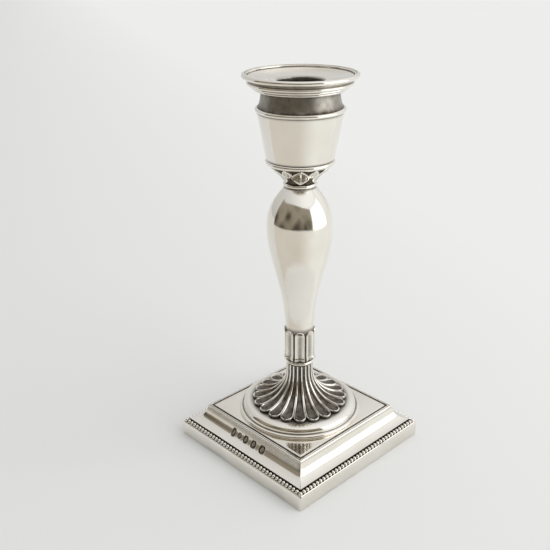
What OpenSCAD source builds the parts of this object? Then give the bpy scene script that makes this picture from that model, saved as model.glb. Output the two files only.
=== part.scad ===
// Silver candlestick on a square beaded base, with a lift-out nozzle.
// Origin: centre of the resting face. +Z is up, the sides of the base lie along X and Y. Millimetres.

/* [Base] */
// Side of the square base
base_w = 84; // [80:1:90]
// Height of the upright skirt of the base
skirt_h = 7.1; // [6.6:0.1:7.6]
// Half the side of the flat plateau
plateau_half = 31; // [30.5:0.1:31.4]
// Height of the plateau above the table
plateau_z = 17; // [16.6:0.1:17.4]
// Diameter of the beads in the border
bead_d = 1.9; // [1.5:0.1:2]
// Beads along one side
beads_per_side = 38; // [30:1:38]

/* [Foot] */
// Radius of the stepped round disc
disc_r = 29.8; // [29:0.1:30]
// Radius to the tips of the scallops
scallop_r = 23.2; // [22.6:0.1:23.8]
// Number of flutes in the spreading foot
foot_flutes = 20; // [16:1:24]
// Number of flutes in the sleeve at the foot of the stem
sleeve_flutes = 8; // [6:1:10]

/* [Stem] */
// Radius of the belly of the stem
belly_r = 15.2; // [14:0.1:16]
// Radius of the stem where it enters the fluted sleeve
stem_foot_r = 6.5; // [6.3:0.1:6.7]

/* [Socket] */
// Thickness of the silver sheet
sheet = 0.9; // [0.7:0.1:1]
// Outer radius of the rib at the shoulder of the socket
shoulder_r = 19.6; // [19.2:0.1:20]
// Outer radius of the lip of the socket
lip_r = 21.2; // [20.6:0.1:21.6]

/* [Nozzle] */
// Outer radius of the nozzle rim
rim_r = 25; // [24.5:0.1:26]
// Radius of the candle hole
candle_r = 9.8; // [9.4:0.1:9.9]
// Gap between the nozzle tube and the liner, measured on the radius
nozzle_gap = 0.2; // [0.15:0.05:0.3]

/* [Hidden] */
$fn = 72;

base_half = base_w / 2;
felt_t = 0.8;
board_top = skirt_h - 0.9;
trough_z = skirt_h - 0.1;
trough_out = base_half - 0.75;
trough_in = trough_out - bead_d - 0.1;
cavetto_z = skirt_h + 2.1;
fillet_half = plateau_half + 1.6;
cavetto = curve([[fillet_half, plateau_z - 1.1], [fillet_half - 0.9, cavetto_z + 2],
                 [fillet_half + 2.2, cavetto_z + 0.6], [trough_in, cavetto_z]]);
bead_line = (trough_out + trough_in) / 2;
bead_pitch = 2 * bead_line / beads_per_side;
bead_seat = 0.45;

disc_top = plateau_z + 4.9;
disc_bore = 17;
foot_top = 42.5;
foot_neck_r = 6.3;
// The outside of the foot follows a circular arc that is hollow outwards.
foot_arc_r = 15.4;
foot_arc_x = foot_neck_r + foot_arc_r;
foot_arc_z = foot_top - 4;
foot_wall = 1.3;
flute_r = 1.05;
flute_depth = 0.35;
collar_r = 6.9;
collar_h = 2;
sleeve_z = foot_top + collar_h;
sleeve_top = 61.5;
sleeve_r = 7.3;
sleeve_flute_r = 2;
belly_z = 112;
stem_top = 131.2;
stem_top_r = 7.2;
stem_outline = concat([[stem_foot_r, sleeve_z]],
    curve([[stem_foot_r, sleeve_top], [stem_foot_r + 0.5, 85], [belly_r, 97], [belly_r, belly_z]], 12),
    curve([[belly_r, belly_z + 0.5], [belly_r, 119.5], [9.9, 126.5], [stem_top_r, stem_top]], 10));
filling_top = 124;
knop_r = 7.7;
knop_h = 2;
ring_bore = 4;
calyx_z = stem_top + knop_h;
lower_rib_z = 141.3;
lower_rib_r = 15.4;
rib_h = 2.2;
cup_z = lower_rib_z + rib_h;
shoulder_z = 164;
shoulder_h = 2;
neck_z = shoulder_z + shoulder_h;
lip_z = 173;
lip_top = 175.4;
dish_z = 177.2;
rim_wire_r = 1;
rim_z = 179.2;
dish_edge = rim_r - 2.2;
dish_seat = dish_z - 0.9;
seat_r = 17;
step_r = rim_r - 2.1;

tube_wall = 0.9;
tube_out = candle_r + tube_wall;
tube_z = 156;
liner_in = tube_out + nozzle_gap;
liner_out = liner_in + 0.6;
liner_z = 150;

rod_r = 2.5;
rod_fit = 0.05;
rod_end = 1.3;
recess_top = 3.9;
recess_r = 8.5;
washer_r = 7.5;
washer_t = 0.8;
plate_r = 14;
plate_t = 1.5;
head_r = 4.5;
head_t = 3;

// Points along a cubic curve with the four control points p.
function curve(p, steps = 10) = [for (i = [0:steps]) let (t = i / steps, s = 1 - t)
    s * s * s * p[0] + 3 * s * s * t * p[1] + 3 * s * t * t * p[2] + t * t * t * p[3]];

function reversed(list) = [for (i = [len(list) - 1:-1:0]) list[i]];

// An outline moved sideways towards the axis by d.
function inward(list, d) = [for (p = list) [p[0] - d, p[1]]];

// A sheet that turns round the axis: the outline outside, the same outline moved inward inside.
module spun_sheet(outline, thickness) {
    rotate_extrude() polygon(concat(outline, reversed(inward(outline, thickness))));
}

// A wire ring: a round outer edge on a flat band, from radius inner to radius outer, h high.
module wire_ring(inner, outer, z, h) {
    rotate_extrude() {
        translate([outer - h / 2, z + h / 2]) circle(h / 2);
        translate([inner, z]) square([outer - h / 2 - inner, h]);
    }
}

// A solid whose square cross-section follows the half outline: each point is [half side, height].
module square_solid(outline) {
    whole = concat(outline, [for (p = reversed(outline)) [-p[0], p[1]]]);
    reach = 2 * base_w;
    intersection() {
        translate([0, reach / 2, 0]) rotate([90, 0, 0]) linear_extrude(reach) polygon(whole);
        translate([-reach / 2, 0, 0]) rotate([90, 0, 90]) linear_extrude(reach) polygon(whole);
    }
}

// A flat square frame between two half sides.
module square_frame(inner, outer, z, h) {
    difference() {
        translate([-outer, -outer, z]) cube([2 * outer, 2 * outer, h]);
        translate([-inner, -inner, z - 1]) cube([2 * inner, 2 * inner, h + 2]);
    }
}

module around(count, offset = 0) {
    for (i = [0:count - 1]) rotate([0, 0, i * 360 / count + offset]) children();
}

module rod_hole(from, to) {
    translate([0, 0, from - 1]) cylinder(r = rod_r + rod_fit, h = to - from + 2);
}

// ---- base -------------------------------------------------------------------------------------

module felt_pad() {
    half = base_half - sheet - 0.1;
    color("darkgreen") translate([-half, -half, 0]) cube([2 * half, 2 * half, felt_t]);
}

module base_board() {
    half = base_half - sheet - 0.1;
    color("saddlebrown") difference() {
        translate([-half, -half, felt_t]) cube([2 * half, 2 * half, board_top - felt_t]);
        rod_hole(0, board_top);
        cylinder(r = recess_r, h = recess_top);
    }
}

module base_skirt() {
    color("silver") {
        square_frame(base_half - sheet, base_half, 0, skirt_h);
        square_frame(trough_in - sheet, base_half - sheet + 0.01, board_top, trough_z - board_top);
        square_frame(trough_out, base_half - 0.35, skirt_h - 0.01, 0.41);
    }
}

module bead_border() {
    color("silver") {
        square_frame(bead_line - 0.5, bead_line + 0.5, trough_z, bead_seat);
        for (side = [0:3]) rotate([0, 0, side * 90])
            for (i = [0:beads_per_side - 1])
                translate([-bead_line + i * bead_pitch, -bead_line, trough_z])
                    intersection() {
                        translate([0, 0, bead_d / 2]) sphere(d = bead_d, $fn = 16);
                        translate([-bead_d, -bead_d, 0.1]) cube(2 * bead_d);
                    }
    }
}

module base_top() {
    outer = concat([[0, plateau_z], [fillet_half - 0.5, plateau_z], [fillet_half, plateau_z - 0.5]],
                   cavetto, [[trough_in, trough_z], [0, trough_z]]);
    inner = concat([[0, plateau_z - sheet], [fillet_half - sheet - 0.4, plateau_z - sheet]],
                   [for (p = cavetto) [p[0] - sheet, p[1] - sheet / 2]],
                   [[trough_in - sheet, trough_z - 1], [0, trough_z - 1]]);
    color("silver") difference() {
        square_solid(outer);
        square_solid(inner);
        square_frame(plateau_half - 0.6, plateau_half + 0.1, plateau_z - 0.5, 2);
        translate([0, 0, plateau_z - 3]) cylinder(r = 4, h = 6);
    }
}

module base_filling() {
    slack = sheet + 0.2;
    outline = concat([[0, plateau_z - sheet - 0.2], [fillet_half - slack - 0.6, plateau_z - sheet - 0.2]],
                     [for (p = cavetto) [p[0] - slack, p[1] - slack]],
                     [[trough_in - slack, board_top], [0, board_top]]);
    color("dimgray") difference() {
        square_solid(outline);
        rod_hole(board_top, plateau_z);
    }
}

// ---- foot -------------------------------------------------------------------------------------

module foot_disc() {
    edge = 0.8;
    step = curve([[disc_r - 1.8, plateau_z + 2.3], [disc_r - 2.2, disc_top - 0.8],
                  [disc_r - 4, disc_top], [scallop_r, disc_top]], 8);
    inside = curve([[disc_r - 3, plateau_z + 1.6], [disc_r - 3.4, disc_top - 1.6],
                    [disc_r - 5, disc_top - sheet], [scallop_r, disc_top - sheet]], 8);
    color("silver") rotate_extrude() {
        translate([disc_r - edge, plateau_z + edge]) circle(edge);
        translate([disc_r - 3, plateau_z]) square([3 - edge, 2 * edge]);
        polygon(concat([[disc_bore, disc_top], [disc_bore, disc_top - sheet]], reversed(inside),
                       [[disc_r - 3, plateau_z], [disc_r - 1.8, plateau_z]], step));
    }
}

module fluted_foot() {
    half_turn = 180 / foot_flutes;
    tip = scallop_r * sin(half_turn);
    arc = [for (a = [180:6:264]) [foot_arc_x + foot_arc_r * cos(a), foot_arc_z + foot_arc_r * sin(a)]];
    last = arc[len(arc) - 1];
    under = [for (p = reversed(arc))
             let (d = foot_wall * [foot_arc_x - p[0], foot_arc_z - p[1]] / foot_arc_r)
             if (p[1] - d[1] > disc_top) p - d];
    color("silver") difference() {
        intersection() {
            rotate_extrude() polygon(concat([[foot_neck_r, foot_top]], arc, [[scallop_r + 1, last[1]]],
                [[scallop_r + 1, disc_top], [scallop_r - 3, disc_top]], under,
                [[foot_neck_r - foot_wall, foot_top]]));
            translate([0, 0, disc_top - 1]) linear_extrude(foot_top) {
                circle(scallop_r - 0.75 * tip);
                around(foot_flutes, half_turn) translate([scallop_r - tip, 0]) circle(tip);
            }
        }
        around(foot_flutes, half_turn)
            translate([foot_arc_x, 0, foot_arc_z]) rotate([90, 0, 0])
                rotate_extrude() translate([foot_arc_r + flute_depth - flute_r, 0]) circle(flute_r);
    }
}

module collar_ring() {
    color("silver") wire_ring(ring_bore, collar_r, foot_top, collar_h);
}

module fluted_sleeve() {
    reach = sleeve_r + sleeve_flute_r - 0.55;
    flute_low = sleeve_z + 1 + sleeve_flute_r;
    flute_high = sleeve_top - 2 - sleeve_flute_r;
    color("silver") difference() {
        union() {
            translate([0, 0, sleeve_z]) cylinder(r = sleeve_r, h = sleeve_top - sleeve_z);
            translate([0, 0, sleeve_z]) cylinder(r = sleeve_r + 0.3, h = 1.4);
        }
        translate([0, 0, sleeve_z - 1]) cylinder(r = stem_foot_r, h = sleeve_top);
        around(sleeve_flutes) translate([reach, 0, 0]) {
            translate([0, 0, flute_low]) cylinder(r = sleeve_flute_r, h = flute_high - flute_low);
            translate([0, 0, flute_low]) sphere(sleeve_flute_r);
            translate([0, 0, flute_high]) sphere(sleeve_flute_r);
        }
    }
}

// ---- stem -------------------------------------------------------------------------------------

module stem_shell() {
    color("silver") spun_sheet(stem_outline, sheet);
}

module stem_filling() {
    slack = sheet + 0.15;
    wall = [for (p = stem_outline) if (p[1] < filling_top)
            [p[0] - slack - (p[1] > belly_z ? 0.4 : 0), p[1]]];
    core = rod_r + rod_fit;
    color("dimgray") rotate_extrude() polygon(concat(wall, [[core, filling_top], [core, sleeve_z]]));
}

module stem_knop() {
    color("silver") wire_ring(ring_bore, knop_r, stem_top, knop_h);
}

// ---- socket -----------------------------------------------------------------------------------

module socket_calyx() {
    outline = curve([[7.4, calyx_z], [8.3, calyx_z + 3], [11.8, calyx_z + 4.4], [14, lower_rib_z]], 8);
    color("silver") spun_sheet(outline, 1.2);
}

module lower_rib() {
    color("silver") wire_ring(lower_rib_r - 2.8, lower_rib_r, lower_rib_z, rib_h);
}

module socket_cup() {
    outline = curve([[lower_rib_r - 0.4, cup_z], [16.8, cup_z + 8.5], [17.5, shoulder_z - 6],
                     [shoulder_r - 0.8, shoulder_z]], 8);
    color("silver") spun_sheet(outline, sheet);
}

module shoulder_rib() {
    color("silver") wire_ring(shoulder_r - 2.2, shoulder_r, shoulder_z, shoulder_h);
}

module socket_neck() {
    outline = curve([[shoulder_r - 1, neck_z], [17.3, neck_z + 1.6], [16.9, neck_z + 4.8],
                     [lip_r - 3, lip_z]], 8);
    color("silver") spun_sheet(outline, sheet);
}

module socket_lip() {
    edge = 0.7;
    color("silver") rotate_extrude() {
        translate([lip_r - edge, lip_top - edge]) circle(edge);
        polygon([[liner_out, lip_z], [lip_r - 2.8, lip_z], [lip_r - edge, lip_top - 2 * edge],
                 [lip_r - edge, lip_top], [liner_out, lip_top]]);
    }
}

module socket_liner() {
    floor_t = 0.8;
    color("silver") difference() {
        translate([0, 0, liner_z]) cylinder(r = liner_out, h = lip_top - liner_z);
        translate([0, 0, liner_z + floor_t]) cylinder(r = liner_in, h = lip_top - liner_z);
    }
}

// ---- rod that holds the stack together ----------------------------------------------------------

module rod_plate() {
    color("gray") difference() {
        translate([0, 0, cup_z]) cylinder(r = plate_r, h = plate_t);
        rod_hole(cup_z, cup_z + plate_t);
    }
}

module tie_rod() {
    color("gray") {
        translate([0, 0, rod_end]) cylinder(r = rod_r, h = cup_z + plate_t - rod_end);
        translate([0, 0, cup_z + plate_t]) cylinder(r = head_r, h = head_t);
    }
}

module rod_washer() {
    color("gray") difference() {
        translate([0, 0, recess_top - washer_t]) cylinder(r = washer_r, h = washer_t);
        rod_hole(0, recess_top);
    }
}

module rod_nut() {
    across_flats = 8.6;
    color("gray") difference() {
        translate([0, 0, rod_end])
            cylinder(d = across_flats / cos(30), h = recess_top - washer_t - rod_end, $fn = 6);
        rod_hole(0, recess_top);
    }
}

// ---- nozzle -----------------------------------------------------------------------------------

module nozzle_tube() {
    color("silver") difference() {
        translate([0, 0, tube_z]) cylinder(r = tube_out, h = dish_z - tube_z);
        translate([0, 0, tube_z - 1]) cylinder(r = candle_r, h = dish_z - tube_z + 2);
    }
}

module nozzle_dish() {
    top = curve([[tube_out, dish_z], [seat_r, dish_z + 0.1], [seat_r + 4, dish_z + 0.8],
                 [dish_edge, rim_z]], 8);
    under = curve([[dish_edge, rim_z - sheet], [seat_r + 4, dish_z - 0.1], [seat_r + 2, dish_seat],
                   [seat_r, dish_seat]], 8);
    color("silver") rotate_extrude() polygon(concat(top, under, [[tube_out, dish_seat]]));
}

module nozzle_step_ring() {
    inner = seat_r - 3;
    color("silver") rotate_extrude()
        polygon([[inner, lip_top], [step_r - 1, lip_top], [step_r, lip_top + 0.9],
                 [step_r - 0.2, lip_top + 1.35], [step_r - 1.8, lip_top + 1.15],
                 [seat_r, dish_seat], [inner, dish_seat]]);
}

module nozzle_rim_wire() {
    color("silver") rotate_extrude() {
        translate([rim_r - rim_wire_r, rim_z]) circle(rim_wire_r);
        translate([dish_edge, rim_z - sheet]) square([rim_r - rim_wire_r - dish_edge, sheet]);
    }
}

felt_pad();
base_board();
base_skirt();
bead_border();
base_top();
base_filling();
foot_disc();
fluted_foot();
collar_ring();
fluted_sleeve();
stem_shell();
stem_filling();
stem_knop();
socket_calyx();
lower_rib();
socket_cup();
shoulder_rib();
socket_neck();
socket_lip();
socket_liner();
rod_plate();
tie_rod();
rod_washer();
rod_nut();
nozzle_tube();
nozzle_dish();
nozzle_step_ring();
nozzle_rim_wire();
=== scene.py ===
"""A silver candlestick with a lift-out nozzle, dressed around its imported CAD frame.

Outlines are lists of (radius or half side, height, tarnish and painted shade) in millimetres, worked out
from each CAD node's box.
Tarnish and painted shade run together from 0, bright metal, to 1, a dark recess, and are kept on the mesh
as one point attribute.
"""

import math

import bpy
import bmesh
from mathutils import Matrix, Vector, noise


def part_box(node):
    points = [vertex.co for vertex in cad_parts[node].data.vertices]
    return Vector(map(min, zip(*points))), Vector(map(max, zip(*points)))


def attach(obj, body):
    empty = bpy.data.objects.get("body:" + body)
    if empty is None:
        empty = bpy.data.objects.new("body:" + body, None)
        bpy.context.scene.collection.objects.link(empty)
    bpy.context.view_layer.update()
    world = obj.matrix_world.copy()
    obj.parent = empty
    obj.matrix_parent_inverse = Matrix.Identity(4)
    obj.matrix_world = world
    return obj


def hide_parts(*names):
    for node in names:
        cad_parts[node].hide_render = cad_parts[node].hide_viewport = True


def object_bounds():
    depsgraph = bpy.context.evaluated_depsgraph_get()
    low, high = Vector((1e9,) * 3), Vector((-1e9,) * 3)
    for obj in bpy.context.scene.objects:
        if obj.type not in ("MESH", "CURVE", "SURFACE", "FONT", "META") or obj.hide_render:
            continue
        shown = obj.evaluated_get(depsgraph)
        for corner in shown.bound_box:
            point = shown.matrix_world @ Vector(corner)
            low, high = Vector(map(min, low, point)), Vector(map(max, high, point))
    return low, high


MM = 0.001
SHEET = 0.9  # thickness of the silver sheet
# Dark brown of tarnish and of painted shade in recesses and between parts
TARNISH_AND_PAINTED_SHADE_COLOR = (0.075, 0.06, 0.043)
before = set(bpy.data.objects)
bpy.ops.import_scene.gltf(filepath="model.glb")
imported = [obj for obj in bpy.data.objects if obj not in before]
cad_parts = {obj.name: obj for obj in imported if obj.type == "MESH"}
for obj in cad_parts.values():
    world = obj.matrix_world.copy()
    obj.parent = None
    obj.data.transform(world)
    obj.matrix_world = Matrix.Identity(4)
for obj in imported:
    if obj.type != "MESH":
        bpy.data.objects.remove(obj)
cad_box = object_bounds()


# ---- camera -------------------------------------------------------------------------------------

base_half = cad_box[1].x

CAMERA_AT = (5.476, -5.604, 5.484)  # in half sides of the base
CAMERA_HEADING = 46.35  # degrees to the left of +Y
CAMERA_DOWN = 23.40
CAMERA_ROLL = -0.60
CAMERA_LENS = 50.46
CAMERA_SENSOR = 36


def add_camera():
    heading, down, roll = (math.radians(a) for a in (CAMERA_HEADING, CAMERA_DOWN, CAMERA_ROLL))
    ahead = Vector((-math.sin(heading), math.cos(heading), 0))
    forward = math.cos(down) * ahead - Vector((0, 0, math.sin(down)))
    level = Vector((math.cos(heading), math.sin(heading), 0))
    rise = level.cross(forward)
    right = math.cos(roll) * level + math.sin(roll) * rise
    up = math.cos(roll) * rise - math.sin(roll) * level
    data = bpy.data.cameras.new("camera")
    data.sensor_width = CAMERA_SENSOR
    data.lens = CAMERA_LENS
    data.clip_start = 0.01
    camera = bpy.data.objects.new("camera", data)
    turn = Matrix((right, up, -forward)).transposed().to_4x4()
    camera.matrix_world = Matrix.Translation(Vector(CAMERA_AT) * base_half) @ turn
    bpy.context.scene.collection.objects.link(camera)
    bpy.context.scene.camera = camera


add_camera()


# ---- materials ----------------------------------------------------------------------------------

def new_material(name):
    material = bpy.data.materials.new(name)
    material.use_nodes = True
    nodes = material.node_tree.nodes
    return material, nodes, material.node_tree.links, nodes["Principled BSDF"]


def noise_node(nodes, links, scale, detail=3.0, stretch=None):
    """Noise in object coordinates: scale is in waves per metre."""
    place = nodes.new("ShaderNodeTexCoord").outputs["Object"]
    if stretch:
        mapping = nodes.new("ShaderNodeMapping")
        mapping.inputs["Scale"].default_value = stretch
        links.new(place, mapping.inputs["Vector"])
        place = mapping.outputs["Vector"]
    texture = nodes.new("ShaderNodeTexNoise")
    texture.inputs["Scale"].default_value = scale
    texture.inputs["Detail"].default_value = detail
    links.new(place, texture.inputs["Vector"])
    return texture.outputs["Fac"]


def ramp(nodes, links, value, stops):
    node = nodes.new("ShaderNodeValToRGB")
    elements = node.color_ramp.elements
    while len(elements) < len(stops):
        elements.new(0.5)
    for element, (at, color) in zip(elements, stops):
        element.position = at
        element.color = (*color, 1) if len(color) == 3 else (color[0], color[0], color[0], 1)
    links.new(value, node.inputs["Fac"])
    return node.outputs["Color"]


def mix_color(nodes, links, factor, a, b):
    node = nodes.new("ShaderNodeMix")
    node.data_type = "RGBA"
    links.new(factor, node.inputs["Factor"])
    for socket, value in ((node.inputs[6], a), (node.inputs[7], b)):
        if isinstance(value, tuple):
            socket.default_value = (*value, 1)
        else:
            links.new(value, socket)
    return node.outputs[2]


def math_node(nodes, links, operation, a, b):
    node = nodes.new("ShaderNodeMath")
    node.operation = operation
    for socket, value in zip(node.inputs, (a, b)):
        if isinstance(value, (int, float)):
            socket.default_value = value
        else:
            links.new(value, socket)
    return node.outputs[0]


def silver_material(name, bright, dull, gloss):
    """Polished silver: warm clouding, hairline scratches, and dark tarnish with painted shade where the
    mesh says so.
    """
    material, nodes, links, shader = new_material(name)
    tarnish_and_painted_shade = nodes.new("ShaderNodeAttribute")
    tarnish_and_painted_shade.attribute_name = "tarnish_and_painted_shade"
    patchy = math_node(nodes, links, "MULTIPLY_ADD", noise_node(nodes, links, 420, 3), 0.5)
    patchy.node.inputs[2].default_value = -0.25
    # Tarnish and painted shade from the mesh, made patchy by noise: it pulls the colour towards the dark
    # brown and raises the roughness
    patchy_tarnish_and_painted_shade = math_node(nodes, links, "ADD", tarnish_and_painted_shade.outputs["Fac"],
                     math_node(nodes, links, "MULTIPLY", patchy, tarnish_and_painted_shade.outputs["Fac"]))
    patchy_tarnish_and_painted_shade.node.use_clamp = True
    clouds = ramp(nodes, links, noise_node(nodes, links, 55, 5), [(0.35, bright), (0.7, dull)])
    links.new(mix_color(nodes, links, patchy_tarnish_and_painted_shade, clouds, TARNISH_AND_PAINTED_SHADE_COLOR), shader.inputs["Base Color"])
    rough = ramp(nodes, links, noise_node(nodes, links, 160, 6), [(0.3, (gloss,)), (0.75, (gloss + 0.07,))])
    links.new(math_node(nodes, links, "ADD", rough, math_node(nodes, links, "MULTIPLY", patchy_tarnish_and_painted_shade, 0.35)),
              shader.inputs["Roughness"])
    shader.inputs["Metallic"].default_value = 1
    scratches = noise_node(nodes, links, 260, 8, stretch=(1, 1, 14))
    bump = nodes.new("ShaderNodeBump")
    bump.inputs["Strength"].default_value = 0.06
    bump.inputs["Distance"].default_value = 0.0001
    links.new(scratches, bump.inputs["Height"])
    links.new(bump.outputs["Normal"], shader.inputs["Normal"])
    return material


def plain_material(name, dark, light, scale, rough, metallic=0.0, bump_depth=0.0002, stretch=None):
    """Cloth, wood, pitch or iron: two tones by noise, and a bump from the same noise."""
    material, nodes, links, shader = new_material(name)
    grain = noise_node(nodes, links, scale, 6, stretch)
    links.new(ramp(nodes, links, grain, [(0.35, dark), (0.65, light)]), shader.inputs["Base Color"])
    roughness = ramp(nodes, links, grain, [(0.3, (rough - 0.1,)), (0.7, (rough,))])
    links.new(roughness, shader.inputs["Roughness"])
    shader.inputs["Metallic"].default_value = metallic
    bump = nodes.new("ShaderNodeBump")
    bump.inputs["Strength"].default_value = 0.6
    bump.inputs["Distance"].default_value = bump_depth
    links.new(grain, bump.inputs["Height"])
    links.new(bump.outputs["Normal"], shader.inputs["Normal"])
    return material


SILVER = silver_material("polished_silver", (0.93, 0.90, 0.85), (0.86, 0.82, 0.75), 0.07)
# Silver for the inside of the tube and the socket: duller, and darker from tarnish and as painted shade
SILVER_INSIDE = silver_material("dull_silver_tarnish_and_painted_shade", (0.62, 0.57, 0.48), (0.45, 0.40, 0.32), 0.28)
FELT = plain_material("green_felt", (0.015, 0.05, 0.03), (0.04, 0.11, 0.065), 2500, 0.98)
BOARD = plain_material("beech_board", (0.30, 0.17, 0.08), (0.52, 0.34, 0.18), 90, 0.7, stretch=(1, 14, 14))
PITCH = plain_material("dark_pitch", (0.02, 0.017, 0.014), (0.07, 0.06, 0.05), 500, 0.8)
IRON = plain_material("dark_iron", (0.12, 0.10, 0.09), (0.25, 0.22, 0.2), 700, 0.55, metallic=1.0)

CAD_MATERIALS = {
    "base_board": BOARD, "base_filling": PITCH, "stem_filling": PITCH,
    "rod_plate": IRON, "tie_rod": IRON, "rod_washer": IRON, "rod_nut": IRON,
}
for node_name, node_material in CAD_MATERIALS.items():
    node_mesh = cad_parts[node_name].data
    node_mesh.materials.clear()
    node_mesh.materials.append(node_material)


# ---- outlines -----------------------------------------------------------------------------------

def span(node):
    """Lowest height, highest height and outer radius (or half side) of a CAD node, in millimetres."""
    low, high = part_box(node)
    return low.z / MM, high.z / MM, high.x / MM


def arc(x, z, radius, start, end, tarnish_and_painted_shade=0.0, steps=10):
    points = []
    for i in range(steps + 1):
        a = math.radians(start + (end - start) * i / steps)
        points.append((x + radius * math.cos(a), z + radius * math.sin(a), tarnish_and_painted_shade))
    return points


def curve(p0, p1, p2, p3, steps=16, tarnish_and_painted_shade=(0.0, 0.0)):
    """A cubic curve between p0 and p3, with the tarnish and painted shade going from one value to the
    other.
    """
    points = []
    for i in range(steps + 1):
        t = i / steps
        s = 1 - t
        w = (s**3, 3 * s * s * t, 3 * s * t * t, t**3)
        x, z = (sum(wi * p[k] for wi, p in zip(w, (p0, p1, p2, p3))) for k in (0, 1))
        points.append((x, z, tarnish_and_painted_shade[0] * s + tarnish_and_painted_shade[1] * t))
    return points


def smooth(x, low=0.0, high=1.0):
    t = min(1.0, max(0.0, (x - low) / (high - low)))
    return t * t * (3 - 2 * t)


# ---- meshes -------------------------------------------------------------------------------------

def finish_piece(obj, body, material, nodes, sharp=38):
    mesh = obj.data
    mesh.materials.append(material)
    mesh.polygons.foreach_set("use_smooth", [True] * len(mesh.polygons))
    mesh.set_sharp_from_angle(angle=math.radians(sharp))
    mesh.update()
    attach(obj, body)
    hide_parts(*nodes)


def piece_from(name, points, faces, tarnish_and_painted_shade):
    mesh = bpy.data.meshes.new(name)
    mesh.from_pydata([(x * MM, y * MM, z * MM) for x, y, z in points], [], faces)
    work = bmesh.new()
    work.from_mesh(mesh)
    bmesh.ops.recalc_face_normals(work, faces=work.faces)
    work.to_mesh(mesh)
    work.free()
    mesh.attributes.new("tarnish_and_painted_shade", "FLOAT", "POINT").data.foreach_set("value", tarnish_and_painted_shade)
    obj = bpy.data.objects.new(name, mesh)
    bpy.context.scene.collection.objects.link(obj)
    return obj


def ring_piece(name, rows):
    """A closed solid from rings of equal length: each ring joins the next, and the last joins the first.
    A ring is a list of (x, y, z, tarnish and painted shade)."""
    count, around = len(rows), len(rows[0])
    points = [p[:3] for row in rows for p in row]
    tarnish_and_painted_shade = [p[3] for row in rows for p in row]
    faces = []
    for i in range(count):
        below, above = i * around, ((i + 1) % count) * around
        for j in range(around):
            k = (j + 1) % around
            faces.append((below + j, below + k, above + k, above + j))
    return piece_from(name, points, faces, tarnish_and_painted_shade)


def hand_worked(obj, depth, wave, dents=()):
    """Moves the surface in and out by noise, as hammered and worn sheet does, and presses in dents.
    A dent is (place, radius, depth), all in millimetres."""
    mesh = obj.data
    normals = [v.normal.copy() for v in mesh.vertices]
    for v, normal in zip(mesh.vertices, normals):
        at = v.co / MM
        shift = depth * noise.noise(at / wave)
        for place, radius, press in dents:
            shift -= press * (1 - smooth((at - Vector(place)).length / radius))
        v.co += normal * shift * MM
    mesh.update()


def turned(name, outline, nodes, body="stand", material=None, segments=192, dress=None,
           worked=0.03):
    """A body of revolution with a closed outline. dress(row, angle, r, z, tarnish and painted shade) may
    change a point.
    """
    rows = []
    for i, (r, z, tarnish_and_painted_shade) in enumerate(outline):
        row = []
        for j in range(segments):
            a = 2 * math.pi * j / segments
            r2, z2, t2 = dress(i, a, r, z, tarnish_and_painted_shade) if dress else (r, z, tarnish_and_painted_shade)
            row.append((r2 * math.cos(a), r2 * math.sin(a), z2, t2))
        rows.append(row)
    obj = ring_piece(name, rows)
    if worked:
        hand_worked(obj, worked, 9)
    finish_piece(obj, body, material or SILVER, nodes)


def sheet_outline(outside):
    """Closes an outside outline with the same line moved in by the sheet's thickness; the inside gets 0.6
    of tarnish and painted shade.
    """
    return outside + [(r - SHEET, z, 0.6) for r, z, _ in reversed(outside)]


# ---- nozzle -------------------------------------------------------------------------------------

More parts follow.
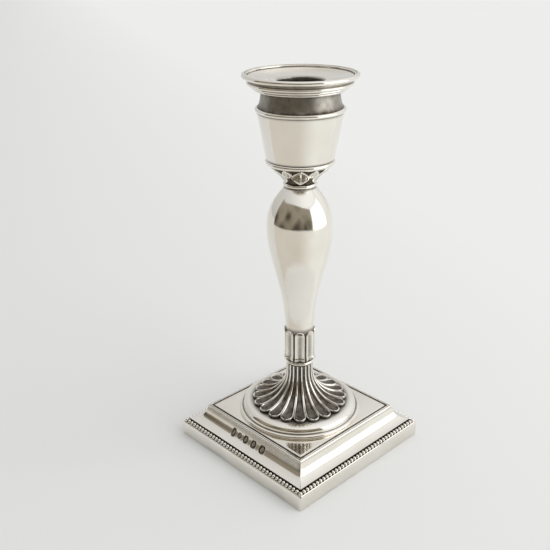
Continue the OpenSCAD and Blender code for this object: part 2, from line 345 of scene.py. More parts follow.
def build_nozzle():
    _, rim_top, rim_r = span("nozzle_rim_wire")
    rim_z = rim_top - 1.03
    wire = arc(rim_r - 1, rim_z, 1, -100, 118, steps=18)
    bead = arc(rim_r - 1.85, rim_z + 0.28, 0.5, 60, 200, steps=10)
    # The groove behind the bead and the foot under the wire are darkened: tarnish and painted shade
    groove = [(rim_r - 1.5, rim_z + 0.5, 1.0), (rim_r - 1.72, rim_z + 0.42, 1.0)]
    foot = [(rim_r - 2.2, rim_z - 0.9, 0.7), (rim_r - 1.5, rim_z - 0.95, 0.7)]
    turned("rim_moulding", wire + groove + bead + foot, ["nozzle_rim_wire"], "nozzle", worked=0.02)

    seat, _, _ = span("nozzle_dish")
    dish_z = seat + 0.9
    tube_r = span("nozzle_tube")[2]
    bore = tube_r - SHEET
    mouth = arc(bore + 1.1, dish_z - 1.05, 1.1, 97, 180, 0.0, 8)
    # The mouth darkens from 0.15 to 0.75 going down into the hole: painted shade with tarnish
    mouth = [(r, z, 0.15 + 0.6 * i / 8) for i, (r, z, _) in enumerate(mouth)]
    top = curve((rim_r - 2.2, rim_z + 0.05), (rim_r - 2.7, rim_z - 0.85), (19, dish_z + 0.45),
                mouth[0][:2], 22)
    # Where the dish runs in under the rim wire it is darkened: painted shade with tarnish
    for i, dark in enumerate((1.0, 1.0, 0.9, 0.4)):
        top[i] = (*top[i][:2], dark)
    # The throat and the underside of the dish are darkened: painted shade with tarnish
    throat = [(bore, dish_z - 2.6, 0.9), (bore + 0.3, dish_z - 2.6, 0.9), (bore + 0.35, seat + 0.1, 0.9)]
    step_r = span("nozzle_step_ring")[2]
    under = [(17, seat, 1.0), (step_r - 1.6, seat + 0.3, 1.0), (step_r - 0.9, seat + 0.4, 0.9)]
    under += curve((step_r - 0.8, seat + 0.5), (step_r - 0.6, seat + 1.2), (step_r - 0.2, seat + 1.7),
                   (rim_r - 1.6, rim_z - 0.85), 10, (0.75, 0.3))
    turned("dish", top + mouth + throat + under, ["nozzle_dish"], "nozzle")

    low, high, outer = span("nozzle_step_ring")
    # The step ring is darkened underneath and on top, under the dish: painted shade with tarnish
    ring = [(14, low, 0.6), (outer - 1.2, low, 0.6)]
    ring += arc(outer - 0.75, low + 0.72, 0.72, -90, 100, steps=12)
    ring += [(outer - 1.5, high - 0.2, 1.0), (17, high - 0.5, 1.0), (14, high - 0.5, 1.0)]
    turned("step_ring", ring, ["nozzle_step_ring"], "nozzle", worked=0.02)

    low, high, outer = span("nozzle_tube")
    # The tube is darkened all over, most at its ends and on its inside: painted shade with tarnish
    tube = [(outer - 0.9, low + 0.3, 0.9)] + arc(outer - 0.45, low + 0.45, 0.45, 180, 360, 0.6, 8)
    tube += [(outer, low + 8, 0.35), (outer, high - 2, 0.5), (outer - 0.3, high - 1.2, 0.5)]
    tube += [(outer - 0.6, high - 1.2, 0.9), (outer - 0.6, high - 2.7, 0.9), (outer - 0.9, high - 2.7, 0.9)]
    turned("candle_tube", tube, ["nozzle_tube"], "nozzle", SILVER_INSIDE, worked=0)


# ---- socket -------------------------------------------------------------------------------------

def build_socket():
    low, high, outer = span("socket_lip")
    liner_low, liner_high, liner_r = span("socket_liner")
    edge = 0.62
    # The lip is darkened across its top, under the nozzle's dish, and underneath: tarnish and painted shade
    lip = [(liner_r, high, 0.5), (outer - 3, high, 0.55), (outer - 1.2, high, 0.5)]
    lip += arc(outer - edge, high - edge, edge, 90, -60, steps=10)
    lip += [(outer - 1.0, high - 1.3, 0.8), (outer - 1.25, high - 1.42, 0.6)]
    lip += arc(outer - 2.0, high - 1.75, 0.55, 60, -80, 0.1, 8)
    lip += [(18.3, low, 0.3), (liner_r, low, 0.6)]
    turned("lip", lip, ["socket_lip"], worked=0.02)

    # The liner, inside the socket, is darkened: painted shade with tarnish
    liner = [(liner_r, liner_low, 0.5), (liner_r, liner_high, 0.4), (liner_r - 0.6, liner_high, 0.5)]
    liner += [(liner_r - 0.6, liner_low + 1.2, 0.9), (liner_r - 1.0, liner_low + 0.8, 0.9)]
    liner += [(0.4, liner_low + 0.8, 0.8), (0.4, liner_low, 0.8)]
    turned("liner", liner, ["socket_liner"], material=SILVER_INSIDE, worked=0)

    low, high, _ = span("socket_neck")
    neck = curve((18.55, low), (17.5, low + 1.2), (17.0, low + 3.8), (16.95, high), 20)
    # The neck is darkened all over, most at its top and bottom ends: tarnish and painted shade
    neck = [(r, z, 0.68 + 0.28 * abs(2 * (z - low) / (high - low) - 1) ** 3) for r, z, _ in neck]
    turned("neck", sheet_outline(neck), ["socket_neck"])

    low, high, outer = span("shoulder_rib")
    # The shoulder wire is darkened underneath, less on top: tarnish and painted shade
    rib = [(outer - 2.2, low, 0.8), (outer - 1.5, low + 0.02, 0.9)]
    rib += arc(outer - 0.95, low + 1.02, 0.95, -95, 100, steps=16)
    rib += [(outer - 1.4, high - 0.1, 0.3), (outer - 2.2, high, 0.3)]
    turned("shoulder_wire", rib, ["shoulder_rib"], worked=0.03)

    low, high, outer = span("socket_cup")
    cup = curve((15.0, low), (16.8, low + 8.5), (17.5, high - 6), (outer, high), 30)
    # Painted shade with tarnish: the cup darkens at its top edge and at its foot
    outline_with_tarnish_and_painted_shade = []
    for r, z, _ in cup:
        outline_with_tarnish_and_painted_shade.append((r, z, 0.75 * smooth(z, high - 0.8, high) + 0.7 * (1 - smooth(z, low, low + 0.9))))
    turned("cup", sheet_outline(outline_with_tarnish_and_painted_shade), ["socket_cup"], worked=0.06)

    low, high, outer = span("lower_rib")
    # The wire is darkened above and below its rounded face: tarnish and painted shade
    rib = [(outer - 2.8, low, 0.8), (outer - 1.6, low, 0.9)]
    rib += arc(outer - 1.05, low + 1.05, 1.05, -95, 95, steps=16)
    rib += [(outer - 1.6, high, 0.9), (outer - 2.8, high, 0.9)]
    turned("cup_foot_wire", rib, ["lower_rib"], worked=0.03)

    low, high, outer = span("stem_knop")
    # The knop is darkened above and below its rounded edge: tarnish and painted shade
    knop = [(4, low, 0.8), (outer - 1.2, low, 1.0)] + arc(outer - 0.9, low + 0.95, 0.9, -92, 92, steps=14)
    knop += [(outer - 1.3, high, 1.0), (4, high, 0.8)]
    turned("knop", knop, ["stem_knop"], worked=0.02)


LEAVES = 6
LEAF_RELIEF = 0.55


def build_calyx():
    """Pointed leaves with raised edges and midribs, a second row showing between them, on a ground darkened
    by painted shade with tarnish.
    """
    low, high, outer = span("socket_calyx")
    line = curve((7.4, low), (8.3, low + 3), (11.8, low + 4.4), (outer, high), 56)
    line = [(r - LEAF_RELIEF, z, 1.0) for r, z, _ in line]
    count = len(line)

    def leaf(share, across, width, start, end):
        """Height of one leaf, 0 to 1: share runs up the calyx, across is millimetres from its middle."""
        t = (share - start) / (end - start)
        if not 0 < t < 1:
            return 0.0
        half = width * math.sin(math.pi * t**0.8) ** 0.8
        inside = half - abs(across)
        if inside <= -0.12:
            return 0.0
        edge = max(0.0, 1 - (abs(inside - 0.55) / 0.85) ** 2)
        midrib = max(0.0, 1 - (abs(across) / 0.5) ** 2) * smooth(inside, 0.1, 0.6)
        veins = max(0.0, math.sin(share * 24 - abs(across) * 2.6)) * smooth(inside, 0.5, 1.0)
        return max(edge, 0.95 * midrib, 0.6 * veins, 0.58 * smooth(inside))

    def dress(i, a, r, z, tarnish_and_painted_shade):
        if i >= count:
            return r, z, tarnish_and_painted_shade
        share = i / (count - 1)
        v = (a * LEAVES / (2 * math.pi) + 0.25) % 1 - 0.5
        w = (v + 1) % 1 - 0.5
        pitch = 2 * math.pi * r / LEAVES
        front = leaf(share, v * pitch, 0.40 * pitch, 0.04, 0.97)
        h = max(front, leaf(share, w * pitch, 0.20 * pitch, 0.5, 0.99))
        lift = LEAF_RELIEF * h
        # Low ground between and under the leaves is darkened: painted shade with tarnish; raised parts stay
        # bright
        return r + 0.8 * lift, z - 0.4 * lift, 1 - smooth(h, 0.25, 0.8)

    closed = line + [(r - 1.0, z, 0.6) for r, z, _ in reversed(line[:: 8])]
    turned("leaf_calyx", closed, ["socket_calyx"], segments=LEAVES * 56, dress=dress, worked=0)


# ---- stem ---------------------------------------------------------------------------------------

def build_stem():
    low, high, belly = span("stem_shell")
    _, sleeve_top, _ = span("fluted_sleeve")
    foot_r = 6.5
    lower = curve((foot_r + 0.3, sleeve_top), (foot_r + 0.9, 84), (belly, 97), (belly, 112), 44)
    upper = curve((belly, 112), (belly, 122), (10.6, 126.6), (6.8, high), 36)[1:]
    line = [(foot_r, low, 1.0), (foot_r, sleeve_top - 4, 1.0), (foot_r, sleeve_top - 3, 1.0)]
    line += lower + upper
    outline_with_tarnish_and_painted_shade = []
    # Painted shade with tarnish: the baluster is dark below the sleeve's top, where the sleeve covers it,
    # and at its top end
    for r, z, _ in line:
        at_sleeve = 1 - smooth(z, sleeve_top - 0.6, sleeve_top + 0.8)
        outline_with_tarnish_and_painted_shade.append((r, z, max(at_sleeve, smooth(z, high - 0.9, high))))
    turned("baluster", sheet_outline(outline_with_tarnish_and_painted_shade), ["stem_shell"], segments=224, worked=0.05)

    low, high, outer = span("collar_ring")
    round_r = (high - low) / 2
    # The collar is darkened above and below its rounded edge: tarnish and painted shade
    ring = [(4, low, 0.8), (outer - 1.2, low, 1.0)]
    ring += arc(outer - round_r, low + round_r, round_r, -80, 80, steps=16)
    ring += [(outer - 1.2, high, 1.0), (4, high, 0.8)]
    turned("collar", ring, ["collar_ring"], worked=0.03)


SLEEVE_FLUTES = 8


def build_sleeve():
    """Round-topped flutes with raised edges, side by side, and gaps between their heads darkened by painted
    shade with tarnish.
    """
    low, high, _ = span("fluted_sleeve")
    face_r = 7.3
    half_pitch = math.pi * face_r / SLEEVE_FLUTES
    half = 0.95 * half_pitch
    head_z = high - half
    rows, around = 56, SLEEVE_FLUTES * 40

    def surface(a, share):
        v = 2 * ((a * SLEEVE_FLUTES / (2 * math.pi) + 0.5) % 1 - 0.5)
        across = abs(v) * half_pitch
        top = head_z + math.sqrt(max(0.0, half * half - across * across)) - (0.35 if across > half else 0.0)
        z = low + share * (top - low)
        inside = half - (math.hypot(across, z - head_z) if z > head_z else across)
        edge = math.exp(-(((inside - 0.55) / 0.3) ** 2))
        hollow = smooth(inside, 0.9, 2.4)
        gap = 1 - smooth(inside, 0.05, 0.42)
        bulge = 0.4 * math.exp(-(((z - low - 1.7) / 0.9) ** 2)) * (1 - gap)
        tuck = 0.7 * (1 - smooth(z, low, low + 1.2))
        r = face_r - 0.18 + 0.34 * edge - 0.56 * hollow - 0.45 * gap + bulge - tuck
        # Painted shade with tarnish in the gaps between the heads and along the foot, and a painted dark
        # reflection in the middle of each hollow
        dark = max(gap, 0.55 * hollow * smooth(high - z, 0.8, 4.0), 0.9 * (1 - smooth(z, low, low + 1.0)))
        return r, z, min(1.0, dark)

    rings = []
    for i in range(rows + 1):
        share = (i / rows) ** 0.9
        ring = []
        for j in range(around):
            a = 2 * math.pi * j / around
            r, z, dark = surface(a, share)
            ring.append((r * math.cos(a), r * math.sin(a), z, dark))
        rings.append(ring)
    inner_r = 6.52
    # The inside face is dark: painted shade with tarnish
    for reaches_top in (True, False):
        ring = []
        for j, (_, _, z, _) in enumerate(rings[rows]):
            a = 2 * math.pi * j / around
            ring.append((inner_r * math.cos(a), inner_r * math.sin(a), z if reaches_top else low, 1.0))
        rings.append(ring)
    obj = ring_piece("flute_sleeve", rings)
    finish_piece(obj, "stand", SILVER, ["fluted_sleeve"], sharp=60)


# ---- foot ---------------------------------------------------------------------------------------

FOOT_FLUTES = 20
RIB_HEIGHT = 0.42
FLUTE_DEPTH = 0.75


def build_foot():
    """A spreading foot of hollow flutes. Each one is ringed by a rib, and ends in a rounded scallop."""
    low, high, _ = span("fluted_foot")
    neck_r, arc_r = 6.3, 15.4
    straight = 4.0
    arc_x, arc_z = neck_r + arc_r, high - straight
    sweep = math.radians(84)
    end_r = arc_x - arc_r * math.cos(sweep)
    head = straight + arc_r * sweep
    head_r = math.pi * end_r / FOOT_FLUTES - 0.08

    def place(s):
        """Radius, height and outward normal at the distance s down the foot's outside."""
        if s < straight:
            return neck_r, high - s, 1.0, 0.0
        if s < head:
            a = (s - straight) / arc_r
            return arc_x - arc_r * math.cos(a), arc_z - arc_r * math.sin(a), math.cos(a), math.sin(a)
        a = sweep
        far = s - head
        end_z = arc_z - arc_r * math.sin(a)
        return end_r + far * math.sin(a), end_z - far * math.cos(a), math.cos(a), math.sin(a)

    def surface(a, share):
        v = abs(2 * ((a * FOOT_FLUTES / (2 * math.pi)) % 1 - 0.5))
        across_end = v * math.pi * (end_r + 1.2) / FOOT_FLUTES
        s_end = head + math.sqrt(max(0.0, head_r**2 - across_end**2)) + 0.15
        s = share * s_end
        r, z, nr, nz = place(s)
        half_pitch = math.pi * r / FOOT_FLUTES
        across = v * half_pitch
        half = half_pitch * 0.985
        inside = head_r - math.hypot(across, s - head) if s > head else half - across
        rib = min(0.62, 0.42 * half)
        x = inside / rib
        apart = smooth(r, 12, 17)
        shared = 1 - smooth(x, 0.45, 1.2)
        own = math.sin(math.pi * min(1.0, max(0.0, x))) if x < 1 else 0.0
        ridge = (1 - apart) * shared + apart * own
        hollow = smooth(inside, 0.8 * rib, 0.8 * rib + 0.4 * half)
        depth = min(FLUTE_DEPTH, 0.36 * half + 0.05)
        h = RIB_HEIGHT * ridge - depth * hollow - 0.1
        # Painted shade with tarnish: dark inside each hollow flute and in the gaps where the ribs part
        dark = max(0.9 * smooth(inside, 0.75 * rib, 1.15 * rib), 0.8 * apart * (1 - smooth(x, 0.0, 0.35)))
        return r + nr * h, z + nz * h, min(1.0, dark)

    rows, around = 76, FOOT_FLUTES * 28
    rings = []
    for i in range(rows + 1):
        share = (i / rows) ** 0.85
        rings.append([])
        for j in range(around):
            a = 2 * math.pi * j / around
            r, z, dark = surface(a, share)
            rings[-1].append((r * math.cos(a), r * math.sin(a), z, dark))
    angles = [2 * math.pi * j / around for j in range(around)]
    edge = rings[-1]
    # The rim's underside and the inside of the foot are dark: painted shade with tarnish
    rings.append([(x * 0.995, y * 0.995, low, 1.0) for x, y, _, _ in edge])
    for r, z in ((19, low), (15, low + 0.5), (9, low + 4), (5.2, low + 11), (4.8, high)):
        rings.append([(r * math.cos(a), r * math.sin(a), z, 1.0) for a in angles])
    obj = ring_piece("scallop_foot", rings)
    finish_piece(obj, "stand", SILVER, ["fluted_foot"], sharp=62)


def build_disc():
    low, high, outer = span("foot_disc")
    inner = 20.5
    # Painted shade with tarnish: the edge is dark underneath and in the step of the ledge
    edge = [(outer - 2.6, low, 1.0), (outer - 0.9, low, 1.0)]
    edge += arc(outer - 0.85, low + 0.85, 0.85, -80, 95, steps=14)
    ledge = [(outer - 1.3, low + 1.62, 0.5), (outer - 1.55, low + 1.66, 0.9),
             (outer - 1.75, low + 1.9, 0.5)]
    slope = curve((outer - 1.85, low + 2.2), (outer - 2.1, high - 1.2), (outer - 3.1, high - 0.25),
                  (outer - 4.4, high - 0.15), 16)
    scallop_edge = span("fluted_foot")[2]
    # Painted contact shadow with tarnish where the foot's scallops stand on the top; dark under the foot
    # and inside
    top = [(outer - 5.0, high - 0.05, 0.1), (scallop_edge + 0.2, high, 0.75),
           (scallop_edge - 1.2, high, 1.0), (inner, high, 1.0)]
    under = [(inner, high - 0.9, 0.8), (outer - 5.5, high - 1.2, 0.8), (outer - 3.4, low + 1.6, 0.8)]
    turned("round_step", edge + ledge + slope + top + under, ["foot_disc"], segments=224, worked=0.04)


# ---- base ---------------------------------------------------------------------------------------

def square_rows(outline, corner, shares):
    """Rings that follow a square with rounded corners. shares lists, for each of the four sides, how far
    along it its points lie, from 0 to 1."""
    turn_steps = 5
    rows = []
    for half, z, tarnish_and_painted_shade in outline:
        flat = half - corner
        row = []
        for side in range(4):
            turn = Matrix.Rotation(side * math.pi / 2, 2)
            for share in shares[side]:
                p = turn @ Vector((flat * (2 * share - 1), -half))
                row.append((p.x, p.y, z, tarnish_and_painted_shade))
            for k in range(1, turn_steps):
                a = -math.pi / 2 + k / turn_steps * math.pi / 2
                p = turn @ Vector((flat + corner * math.cos(a), -flat + corner * math.sin(a)))
                row.append((p.x, p.y, z, tarnish_and_painted_shade))
        rows.append(row)
    return rows


# Blank marks on the -Y side of the base: place along X, half width and half height
MARKS = ((-11.0, 1.4, 2.3), (-6.9, 1.2, 1.5), (-2.5, 1.6, 2.0), (2.9, 1.75, 2.0), (8.9, 1.9, 2.1))
MARK_DEPTH = 0.3


def cavetto(half, low, fillet, top):
    return curve((fillet - 0.1, top), (fillet + 1.3, low + 5.3), (fillet + 1.4, low + 2.8),
                 (half, low + 2.2), 44)


def build_base_top():
    low, high, half = span("base_top")
    plateau = half - 8.25
    fillet = plateau + 1.6
    # The groove and the foot of the strip are darkened: tarnish and painted shade
    groove = [(plateau - 0.95, high, 0.0), (plateau - 0.8, high - 0.1, 0.6),
              (plateau - 0.65, high - 0.4, 1.0), (plateau - 0.3, high - 0.5, 1.0),
              (plateau + 0.05, high - 0.4, 1.0), (plateau + 0.2, high - 0.08, 0.6),
              (plateau + 0.3, high, 0.0)]
    strip = [(plateau + 0.72, high - 0.01, 0.0), (plateau + 0.8, high - 0.12, 0.9),
             (plateau + 0.98, high - 0.14, 0.8), (plateau + 1.04, high - 0.08, 0.1)]
    rounded = arc(fillet - 0.45, high - 0.62, 0.45, 80, 0, steps=7)
    hollow = cavetto(half, low, fillet, high - 1.1)
    # The top of the hollow, under the fillet, is darkened: painted shade with tarnish
    hollow = [(h, z, 0.35 * (1 - smooth(high - 1.1 - z, 0.0, 0.8))) for h, z, _ in hollow]
    # Under the hollow's lip it is dark: painted shade with tarnish
    lip = [(half, low + 2.12, 0.0), (half, low + 1.95, 0.9), (half - 0.1, low + 1.2, 1.0),
           (half - 0.1, low, 1.0)]
    plain = [(18, high, 0.0), (22, high, 0.0), (26, high, 0.0), (29, high, 0.0)]
    outside = plain + groove + strip + rounded + hollow + lip
    # The inside is dark: painted shade
    inside = [(half - 1, low, 1.0), (half - 1.2, low + 1.2, 1.0), (fillet + 1.5, low + 2, 1.0),
              (fillet - 1.2, high - 2, 1.0), (18, high - 0.9, 1.0)]
    even = [i / 28 for i in range(29)]
    first, last = 0.30, 0.68
    fine = [i * first / 9 for i in range(9)] + [first + (last - first) * i / 130 for i in range(131)]
    fine += [last + (1 - last) * i / 9 for i in range(1, 10)]
    rows = square_rows(outside + inside, 0.35, (fine, even, even, even))
    start = len(plain) + len(groove) + len(strip) + len(rounded)
    for i in range(start, start + len(hollow)):
        for j in range(len(fine)):
            x, y, z, tarnish_and_painted_shade = rows[i][j]
            down = distance_down(hollow, i - start)
            press, dark = mark_at(x, down)
            # Painted dark reflection on the -Y side: a band below the fillet, 0.4 deep, that widens towards
            # +X
            reach = 1.6 + 2.2 * smooth(x, -20, 30)
            dark = max(dark, 0.4 * (1 - smooth(down, 0.6 * reach, 1.5 * reach)))
            rows[i][j] = (x, y + 0.8 * press, z - 0.6 * press, max(tarnish_and_painted_shade, dark))
    obj = ring_piece("stepped_top", rows)
    hand_worked(obj, 0.05, 14)
    finish_piece(obj, "stand", SILVER, ["base_top"])


def distance_down(line, index):
    return sum(math.dist(line[k][:2], line[k + 1][:2]) for k in range(index))


MARK_LINE = 4.4  # distance of the marks' middle below the fillet, along the hollow


def mark_at(x, down):
    """How deep the surface is pressed in at this place, and how dark it is there: tarnish and painted shade
    in the pressed ground, less on the boss.
    The marks are rounded squares and ovals with a plain boss."""
    for middle, wide, tall in MARKS:
        u, v = (x - middle) / wide, (down - MARK_LINE) / tall
        reach = (abs(u) ** 3.5 + abs(v) ** 3.5) ** (1 / 3.5)
        if reach < 1.15:
            pressed = 1 - smooth(reach, 0.85, 1.1)
            boss = 0.8 * (1 - smooth(math.hypot(u + 0.12 * math.sin(5 * v), 0.8 * v), 0.3, 0.6))
            return MARK_DEPTH * (pressed - boss), min(1.0, pressed * (1 - 0.8 * boss))
    return 0.0, 0.0


# The skirt's uneven surface stays this far inside the CAD box
SKIRT_INSET = 0.1
SKIRT_LIFT = 0.06


def build_skirt():
    low, high, half = span("base_skirt")
    low, half = low + SKIRT_LIFT, half - SKIRT_INSET
    trough = high - 0.5
    # Painted shade with tarnish: a painted contact shadow darkens the skirt towards its foot, and its fine
    # grooves and the trough that holds the beads are dark
    outline = [(half - 0.12, low, 0.3), (half, low + 0.15, 0.15), (half, low + 2.5, 0.08),
               (half, low + 5, 0.04),
               (half, high - 0.75, 0.0), (half - 0.1, high - 0.5, 0.0), (half - 0.34, high - 0.4, 0.35),
               (half - 0.38, high - 0.3, 0.2), (half - 0.45, high - 0.08, 0.0), (half - 0.55, high, 0.0),
               (half - 0.8, high - 0.02, 0.0), (half - 0.88, high - 0.12, 0.5),
               (half - 0.9, trough + 0.05, 0.8),
               (half - 1.1, trough, 0.85), (half - 3.5, trough, 0.9), (half - 3.5, trough - 0.8, 1.0),
               (half - 0.9, trough - 0.8, 1.0), (half - 0.9, low, 0.6)]
    even = [i / 60 for i in range(61)]
    obj = ring_piece("skirt", square_rows(outline, 0.9, (even,) * 4))
    dents = (((half, -22, 1.5), 5, 0.35), ((half, -9, 0.6), 4, 0.25), ((half, 15, 5.5), 5, 0.2),
             ((-14, -half, 2.0), 7, 0.2), ((27, -half, 1.0), 5, 0.25))
    hand_worked(obj, 0.07, 13, dents)
    finish_piece(obj, "stand", SILVER, ["base_skirt"])


BEADS_PER_SIDE = 38


def build_beads():
    low = span("bead_border")[0]
    half = span("base_skirt")[2]
    line = half - 1.75
    pitch = 2 * line / BEADS_PER_SIDE
    along, across, tall = 0.9, 0.97, 0.98
    around, up = 14, 9
    points, faces, tarnish_and_painted_shade = [], [], []
    for side in range(4):
        turn = Matrix.Rotation(side * math.pi / 2, 2)
        for i in range(BEADS_PER_SIDE):
            first = len(points)
            wobble = 0.04 * noise.noise(Vector((i * 0.7, side * 5.1, 0)))
            for k in range(1, up):
                polar = math.pi * k / up
                for j in range(around):
                    a = 2 * math.pi * j / around
                    p = turn @ Vector((-line + i * pitch + along * math.sin(polar) * math.cos(a),
                                       -line + wobble + across * math.sin(polar) * math.sin(a)))
                    rise = math.cos(polar)
                    points.append((p.x, p.y, low + 0.9 + tall * rise))
                    # The lower half of each bead is darkened: painted shade underneath, with tarnish
                    tarnish_and_painted_shade.append(1 - smooth(rise, -0.8, -0.15))
            for k, sign in ((0, 1), (1, -1)):
                p = turn @ Vector((-line + i * pitch, -line + wobble))
                points.append((p.x, p.y, low + 0.9 + sign * tall))
                # The bottom pole is dark and the top pole bright: painted shade
                tarnish_and_painted_shade.append(float(k))
            top, bottom = len(points) - 2, len(points) - 1
            for j in range(around):
                n = (j + 1) % around
                faces.append((top, first + j, first + n))
                for k in range(up - 2):
                    a, b = first + k * around, first + (k + 1) * around
                    faces.append((a + j, b + j, b + n, a + n))
                last = first + (up - 2) * around
                faces.append((bottom, last + n, last + j))
    obj = piece_from("beads", points, faces, tarnish_and_painted_shade)
    finish_piece(obj, "stand", SILVER, ["bead_border"], sharp=180)


def build_felt():
    """A square of baize glued under the board, with a soft edge and an uneven nap."""
    low, high, half = span("felt_pad")
    steps = 64
    edge = 0.25
    outline = [(half - edge, low, 0.0), (half, low + edge, 0.0), (half, high - 0.05, 0.0),
               (half - edge, high, 0.0)]
    rings = square_rows(outline, 1.0, ([i / steps for i in range(steps + 1)],) * 4)
    points = [p[:3] for row in rings for p in row]
    around = len(rings[0])
    faces = []
    for i in range(len(rings) - 1):
        for j in range(around):
            k = (j + 1) % around
            faces.append((i * around + j, i * around + k, (i + 1) * around + k, (i + 1) * around + j))
    faces.append(tuple(range(around)))
    faces.append(tuple((len(rings) - 1) * around + j for j in reversed(range(around))))
    obj = piece_from("felt", points, faces, [0.0] * len(points))
    finish_piece(obj, "stand", FELT, ["felt_pad"])


# ---- studio -------------------------------------------------------------------------------------

def towards(azimuth, elevation=0.0):
    """A direction given from the camera's own side: azimuth 0 is towards the camera, 90 to its right."""
    a = math.radians(azimuth) + math.atan2(CAMERA_AT[1], CAMERA_AT[0])
    e = math.radians(elevation)
    return Vector((math.cos(a) * math.cos(e), math.sin(a) * math.cos(e), math.sin(e)))


FLOOR_HALF = 8.0  # metres


def add_floor():
    """A pale floor with painted light: its colour gets lighter to the right and behind, on the window's
    side.
    """
    material, nodes, links, shader = new_material("pale_floor")
    along = nodes.new("ShaderNodeVectorMath")
    along.operation = "DOT_PRODUCT"
    links.new(nodes.new("ShaderNodeTexCoord").outputs["Object"], along.inputs[0])
    along.inputs[1].default_value = towards(110)
    level = math_node(nodes, links, "MULTIPLY_ADD", along.outputs["Value"], 1.0)
    level.node.inputs[2].default_value = 0.3
    links.new(ramp(nodes, links, level, [(0.1, (0.70, 0.705, 0.70)), (0.55, (0.83, 0.84, 0.835))]),
              shader.inputs["Base Color"])
    shader.inputs["Roughness"].default_value = 0.9
    shader.inputs["Specular IOR Level"].default_value = 0.1
    mesh = bpy.data.meshes.new("floor")
    corners = [(x * FLOOR_HALF, y * FLOOR_HALF, 0) for x, y in ((-1, -1), (1, -1), (1, 1), (-1, 1))]
    mesh.from_pydata(corners, [], [(0, 1, 2, 3)])
    mesh.materials.append(material)
    floor = bpy.data.objects.new("floor", mesh)
    bpy.context.scene.collection.objects.link(floor)


def add_card(name, azimuths, place, tone):
    """A glowing card that only shows in reflections, as the room round the object does.
    place(azimuth, v) gives its distance and height, and tone(azimuth, v) its colour, for v from 0 to 1."""
    steps, rows = 120, 40
    points, faces, colors = [], [], []
    for i in range(steps + 1):
        azimuth = azimuths[0] + (azimuths[1] - azimuths[0]) * i / steps
        for k in range(rows + 1):
            distance, height = place(azimuth, k / rows)
            d = towards(azimuth) * distance
            points.append((d.x, d.y, height))
            colors += [*tone(azimuth, k / rows), 1.0]
    for i in range(steps):
        for k in range(rows):
            a = i * (rows + 1) + k
            faces.append((a, a + rows + 1, a + rows + 2, a + 1))
    mesh = bpy.data.meshes.new(name)
    mesh.from_pydata(points, [], faces)
    mesh.attributes.new("glow", "FLOAT_COLOR", "POINT").data.foreach_set("color", colors)
    material, nodes, links, shader = new_material(name)
    glow = nodes.new("ShaderNodeAttribute")
    glow.attribute_name = "glow"
    shader.inputs["Base Color"].default_value = (0, 0, 0, 1)
    shader.inputs["Specular IOR Level"].default_value = 0
    links.new(glow.outputs["Color"], shader.inputs["Emission Color"])
    shader.inputs["Emission Strength"].default_value = 1
    mesh.materials.append(material)
    card = bpy.data.objects.new(name, mesh)
    bpy.context.scene.collection.objects.link(card)
    card.visible_camera = False
    card.visible_diffuse = False
    card.visible_shadow = False


def blend(a, b, t):
    return tuple(x + (y - x) * t for x, y in zip(a, b))


def room_tone(azimuth, v):
    """A warm room, darker near the floor, with vague large shapes."""
    at = Vector((azimuth / 24, v * 2.2, 0.3))
    tone = blend((0.07, 0.058, 0.044), (0.30, 0.265, 0.21), smooth(noise.noise(at) + 1.2 * v, -0.1, 0.8))
    return blend(tone, (0.20, 0.19, 0.13), 0.6 * smooth(noise.noise(at + Vector((4, 9, 0))), 0.0, 0.4))


def room_top(azimuth):
    """The room's ceiling line, which stands highest in the middle."""
    return 0.62 + 0.33 * math.cos(math.radians(azimuth + 20)) ** 2


def table_tone(azimuth, v):
    """The table in front, beige in the shade of the room and paler towards the window."""
    return blend((0.65, 0.625, 0.565), (0.88, 0.885, 0.85), smooth(azimuth, -15, 55))


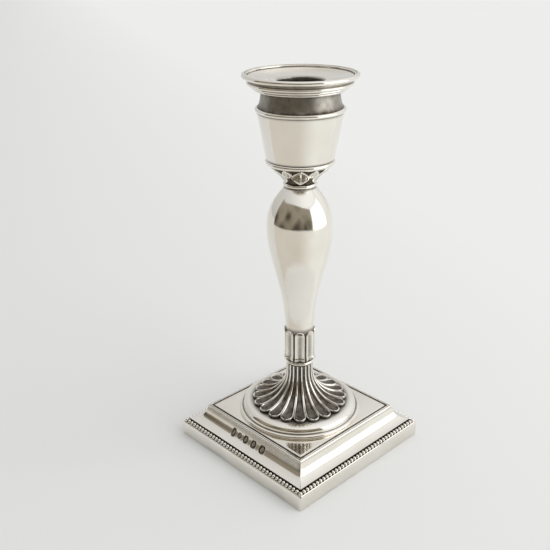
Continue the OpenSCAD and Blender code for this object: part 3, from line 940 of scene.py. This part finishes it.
def window_tone(azimuth, v):
    """Daylight, which fades into the light walls above and beyond it."""
    daylight = smooth(azimuth, 42, 52) * (1 - smooth(azimuth, 88, 108)) * (1 - smooth(v, 0.7, 1.0))
    return blend((0.80, 0.80, 0.78), (1.9, 1.9, 1.85), daylight)


def add_sun():
    data = bpy.data.lights.new("window_light", "SUN")
    data.angle = math.radians(55)
    data.energy = 1.0
    data.color = (1.0, 0.985, 0.96)
    light = bpy.data.objects.new("window_light", data)
    light.matrix_world = towards(70, 42).to_track_quat("Z", "Y").to_matrix().to_4x4()
    light.visible_glossy = False
    bpy.context.scene.collection.objects.link(light)


def add_world():
    """Light walls and ceiling, brighter on the window's side."""
    world = bpy.data.worlds.new("studio")
    world.use_nodes = True
    nodes, links = world.node_tree.nodes, world.node_tree.links
    facing = nodes.new("ShaderNodeVectorMath")
    facing.operation = "DOT_PRODUCT"
    links.new(nodes.new("ShaderNodeTexCoord").outputs["Generated"], facing.inputs[0])
    facing.inputs[1].default_value = towards(75, 40)
    level = math_node(nodes, links, "MULTIPLY_ADD", facing.outputs["Value"], 0.5)
    level.node.inputs[2].default_value = 0.5
    tones = [(0.0, (0.54, 0.54, 0.53)), (0.55, (0.73, 0.73, 0.72)), (0.95, (1.02, 1.02, 1.01))]
    sky = ramp(nodes, links, level, tones)
    links.new(sky, nodes["Background"].inputs["Color"])
    nodes["Background"].inputs["Strength"].default_value = 0.95
    bpy.context.scene.world = world


CARD_DISTANCE = 0.75  # metres from the object's axis


def build_studio():
    add_world()
    add_floor()
    add_sun()
    add_card("room", (-97, 43), lambda azimuth, v: (CARD_DISTANCE, v * room_top(azimuth)), room_tone)
    add_card("table", (-95, 112), lambda azimuth, v: (0.10 + 0.64 * v, 0.001), table_tone)
    add_card("window", (43, 108), lambda azimuth, v: (CARD_DISTANCE, 0.75 * v), window_tone)
    bpy.context.scene.view_settings.view_transform = "Standard"
    bpy.context.scene.view_settings.look = "None"


build_nozzle()
build_socket()
build_calyx()
build_stem()
build_sleeve()
build_foot()
build_disc()
build_base_top()
build_skirt()
build_beads()
build_felt()
build_studio()
